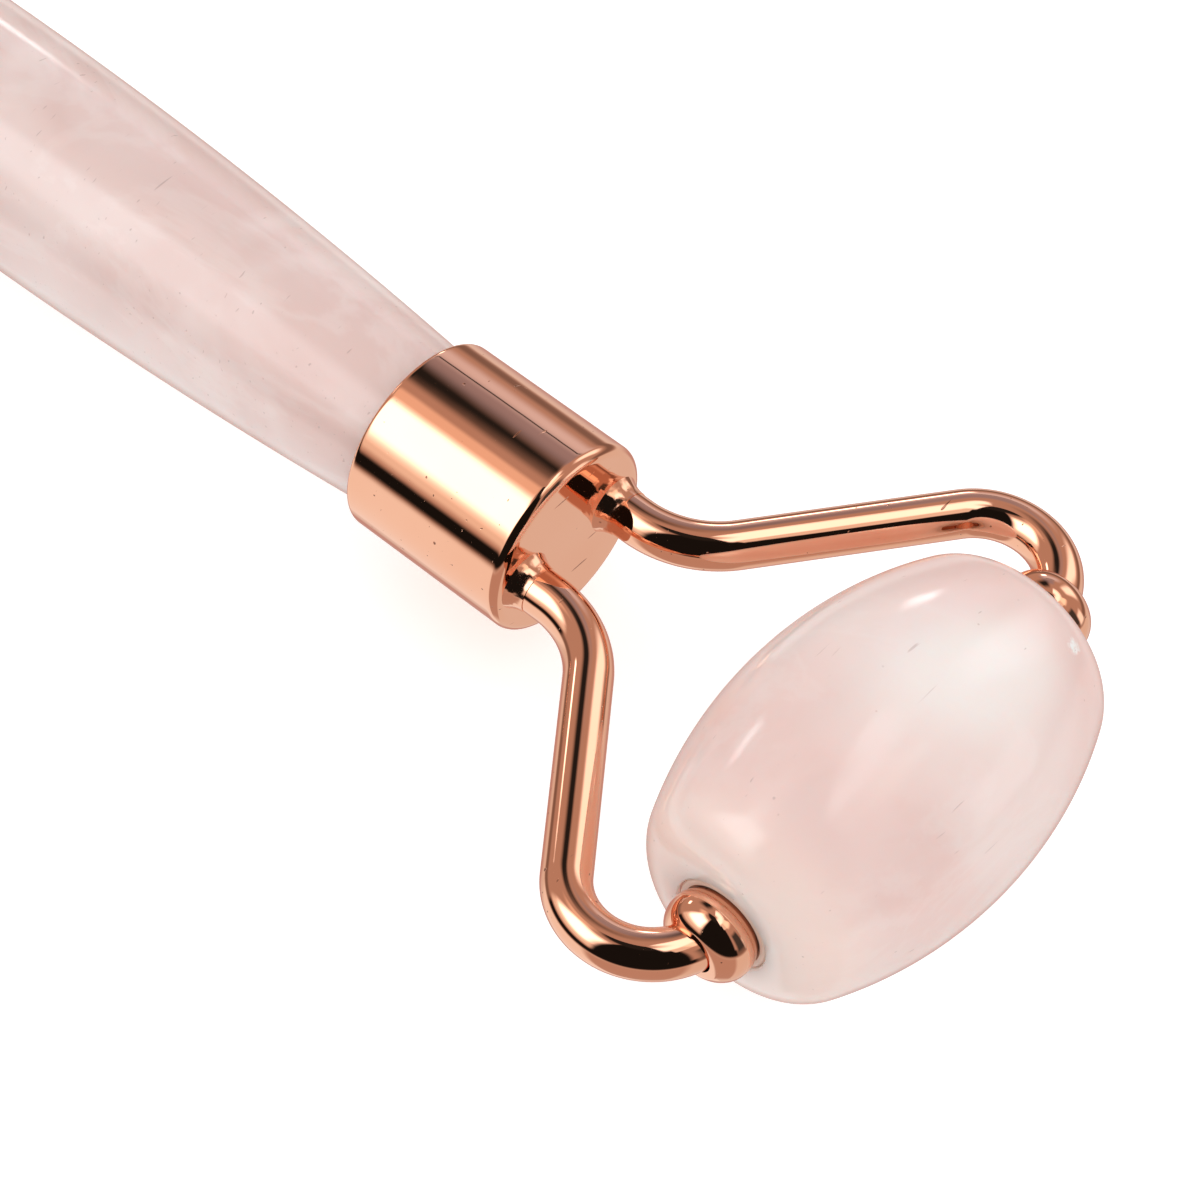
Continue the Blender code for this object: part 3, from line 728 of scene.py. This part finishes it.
# Each is azimuth, elevation, half width, half height and soft edge in degrees, then its strength
# and its colour. A later one covers an earlier one.
LIGHTS = (
    (0, -58, 200, 45, 4, 0.80, "#fff6f0"),      # the white table top
    (-125, -58, 40, 45, 6, 1.00, "#ffffff"),    # its bright side, under the soft box
    (-60, -45, 45, 32, 6, 0.55, "#ffdccf"),     # its side towards the camera
    (130, -55, 50, 28, 10, 0.58, "#ffcfc4"),    # its far side, warm with the object's own colour
    (0, -4, 200, 7, 5, 0.24, "#ffdccd"),        # the dim room beyond the table
    (-80, -2, 72, 7, 3, 0.01, "#ffffff"),       # the dark room on the camera's side
    (-56, 36, 44, 44, 3, 0.01, "#ffffff"),      # the dark behind the camera
    (-100, 83, 75, 9, 3, 0.02, "#ffffff"),      # the dark ceiling over the camera
    (10, 18, 13, 20, 5, 0.06, "#ffffff"),       # a dark gap at its side
    (-127, 16, 27, 6, 4, 0.95, "#fff4ea"),      # the lower skirt of the soft box
    (-162, 62, 13, 8, 6, 0.95, "#ffe2d0"),      # its fringe on the left
    (-127, 43, 23, 19, 8, 2.9, "#ffffff"),      # the large soft box
    (45, 76, 70, 8, 5, 1.9, "#ffffff"),         # the overhead light
    (-3, 63, 14, 7, 1.5, 0.95, "#fff4ea"),      # its lower edge
    (24, 62, 18, 8, 5, 1.5, "#fff0e2"),         # its shine on the wall beyond
    (80, 29, 12, 17, 7, 1.6, "#ffffff"),        # a white panel at the back on the right
    (34, 4, 10, 12, 5, 1.3, "#ffffff"),         # a white panel low on the right
    (127, 36, 14, 15, 6, 0.40, "#f4ecff"),      # a grey card at the back
    (120, 22, 15, 8, 7, 0.85, "#f4f2ff"),       # its paler foot
    (121, 30, 9, 0.8, 0.6, 0.05, "#ffffff"),    # a thin dark rod across it
    (146, 52, 16, 12, 9, 0.02, "#ffffff"),      # the dark rail of the overhead light
    (129, 14.5, 3.5, 2.5, 2, 6.0, "#ffffff"),   # a small lamp at the back
    (175, 22, 5, 2.5, 2, 3.5, "#ffffff"),       # a small lamp at the end of the handle
)
studio = bpy.data.worlds.new("soft_boxes")
bpy.context.scene.world = studio
studio.use_nodes = True
tree = studio.node_tree
way = add_node(tree, "TexCoord", {}).outputs["Generated"]
height = add_node(tree, "SeparateXYZ", {0: way}).outputs["Z"]
rise = add_node(tree, "Math", {0: height}, operation="ARCSINE").outputs[0]
glow = [ROOM_GLOW * part for part in colour(ROOM_COLOUR)]
for azimuth, elevation, half_wide, half_high, soft, level, code in LIGHTS:
    turned_way = add_node(tree, "VectorRotate", {
        "Vector": way, "Angle": math.radians(-azimuth)}, rotation_type="Z_AXIS").outputs[0]
    flat = add_node(tree, "SeparateXYZ", {0: turned_way}).outputs
    aside = add_node(tree, "Math", {0: flat["Y"], 1: flat["X"]}, operation="ARCTAN2").outputs[0]
    aside = add_node(tree, "Math", {0: aside}, operation="ABSOLUTE").outputs[0]
    wide = add_node(tree, "MapRange", {
        0: aside, 1: math.radians(half_wide - soft), 2: math.radians(half_wide + soft),
        3: 1.0, 4: 0.0}, interpolation_type="SMOOTHSTEP").outputs[0]
    over = add_node(tree, "Math", {0: rise, 1: math.radians(elevation)},
                    operation="SUBTRACT").outputs[0]
    over = add_node(tree, "Math", {0: over}, operation="ABSOLUTE").outputs[0]
    high = add_node(tree, "MapRange", {
        0: over, 1: math.radians(half_high - soft), 2: math.radians(half_high + soft),
        3: 1.0, 4: 0.0}, interpolation_type="SMOOTHSTEP").outputs[0]
    inside = add_node(tree, "Math", {0: wide, 1: high}, operation="MULTIPLY").outputs[0]
    shine = [level * part for part in colour(code)]
    glow = add_node(tree, "Mix", {0: inside, 6: glow, 7: shine}, data_type="RGBA").outputs[2]
tent = add_node(tree, "MapRange", {
    0: rise, 1: -TENT_ANGLE, 2: TENT_ANGLE, 3: TENT_BELOW, 4: TENT_ABOVE}).outputs[0]
tent_light = add_node(tree, "Background", {"Color": tent}).outputs[0]
mirror_light = add_node(tree, "Background", {"Color": glow}).outputs[0]
# Mirrors see the studio, unless the light has come through a matt surface first.
ray = add_node(tree, "LightPath", {}).outputs
first = add_node(tree, "Math", {0: ray["Diffuse Depth"], 1: 0.5}, operation="LESS_THAN").outputs[0]
mirrored = add_node(tree, "Math", {0: ray["Is Glossy Ray"], 1: first},
                    operation="MULTIPLY").outputs[0]
lit = add_node(tree, "MixShader", {0: mirrored, 1: tent_light, 2: mirror_light}).outputs[0]
plain_white = tree.nodes["Background"]
plain_white.inputs["Color"].default_value = colour("#ffffff")
seen = add_node(tree, "MixShader", {
    0: ray["Is Camera Ray"], 1: lit, 2: plain_white.outputs[0]}).outputs[0]
tree.links.new(seen, tree.nodes["World Output"].inputs["Surface"])
studio.cycles.sampling_method = "NONE"


# Camera
# At the photo's angle: above the large head and to its right, close, through a long lens.
# It leans a little to one side, as the photo does.

TARGET = Vector((52.15, -4.78, 13.97)) * MM
AZIMUTH = math.radians(39.60)
ELEVATION = math.radians(52.47)
ROLL = math.radians(2.74)
DISTANCE = 187.8 * MM
LENS = 107.57
SENSOR = 36.0
lens = bpy.data.cameras.new("camera")
lens.lens = LENS
lens.sensor_width = SENSOR
lens.clip_start = 0.01
lens.clip_end = 10.0
camera = bpy.data.objects.new("camera", lens)
bpy.context.scene.collection.objects.link(camera)
facing = (Matrix.Rotation(AZIMUTH, 3, "Z") @ Matrix.Rotation(math.pi / 2 - ELEVATION, 3, "X")
          @ Matrix.Rotation(ROLL, 3, "Z"))
stand = TARGET + facing @ Vector((0.0, 0.0, DISTANCE))
camera.matrix_world = Matrix.Translation(stand) @ facing.to_4x4()
bpy.context.scene.camera = camera
bpy.context.scene.view_settings.view_transform = "Standard"
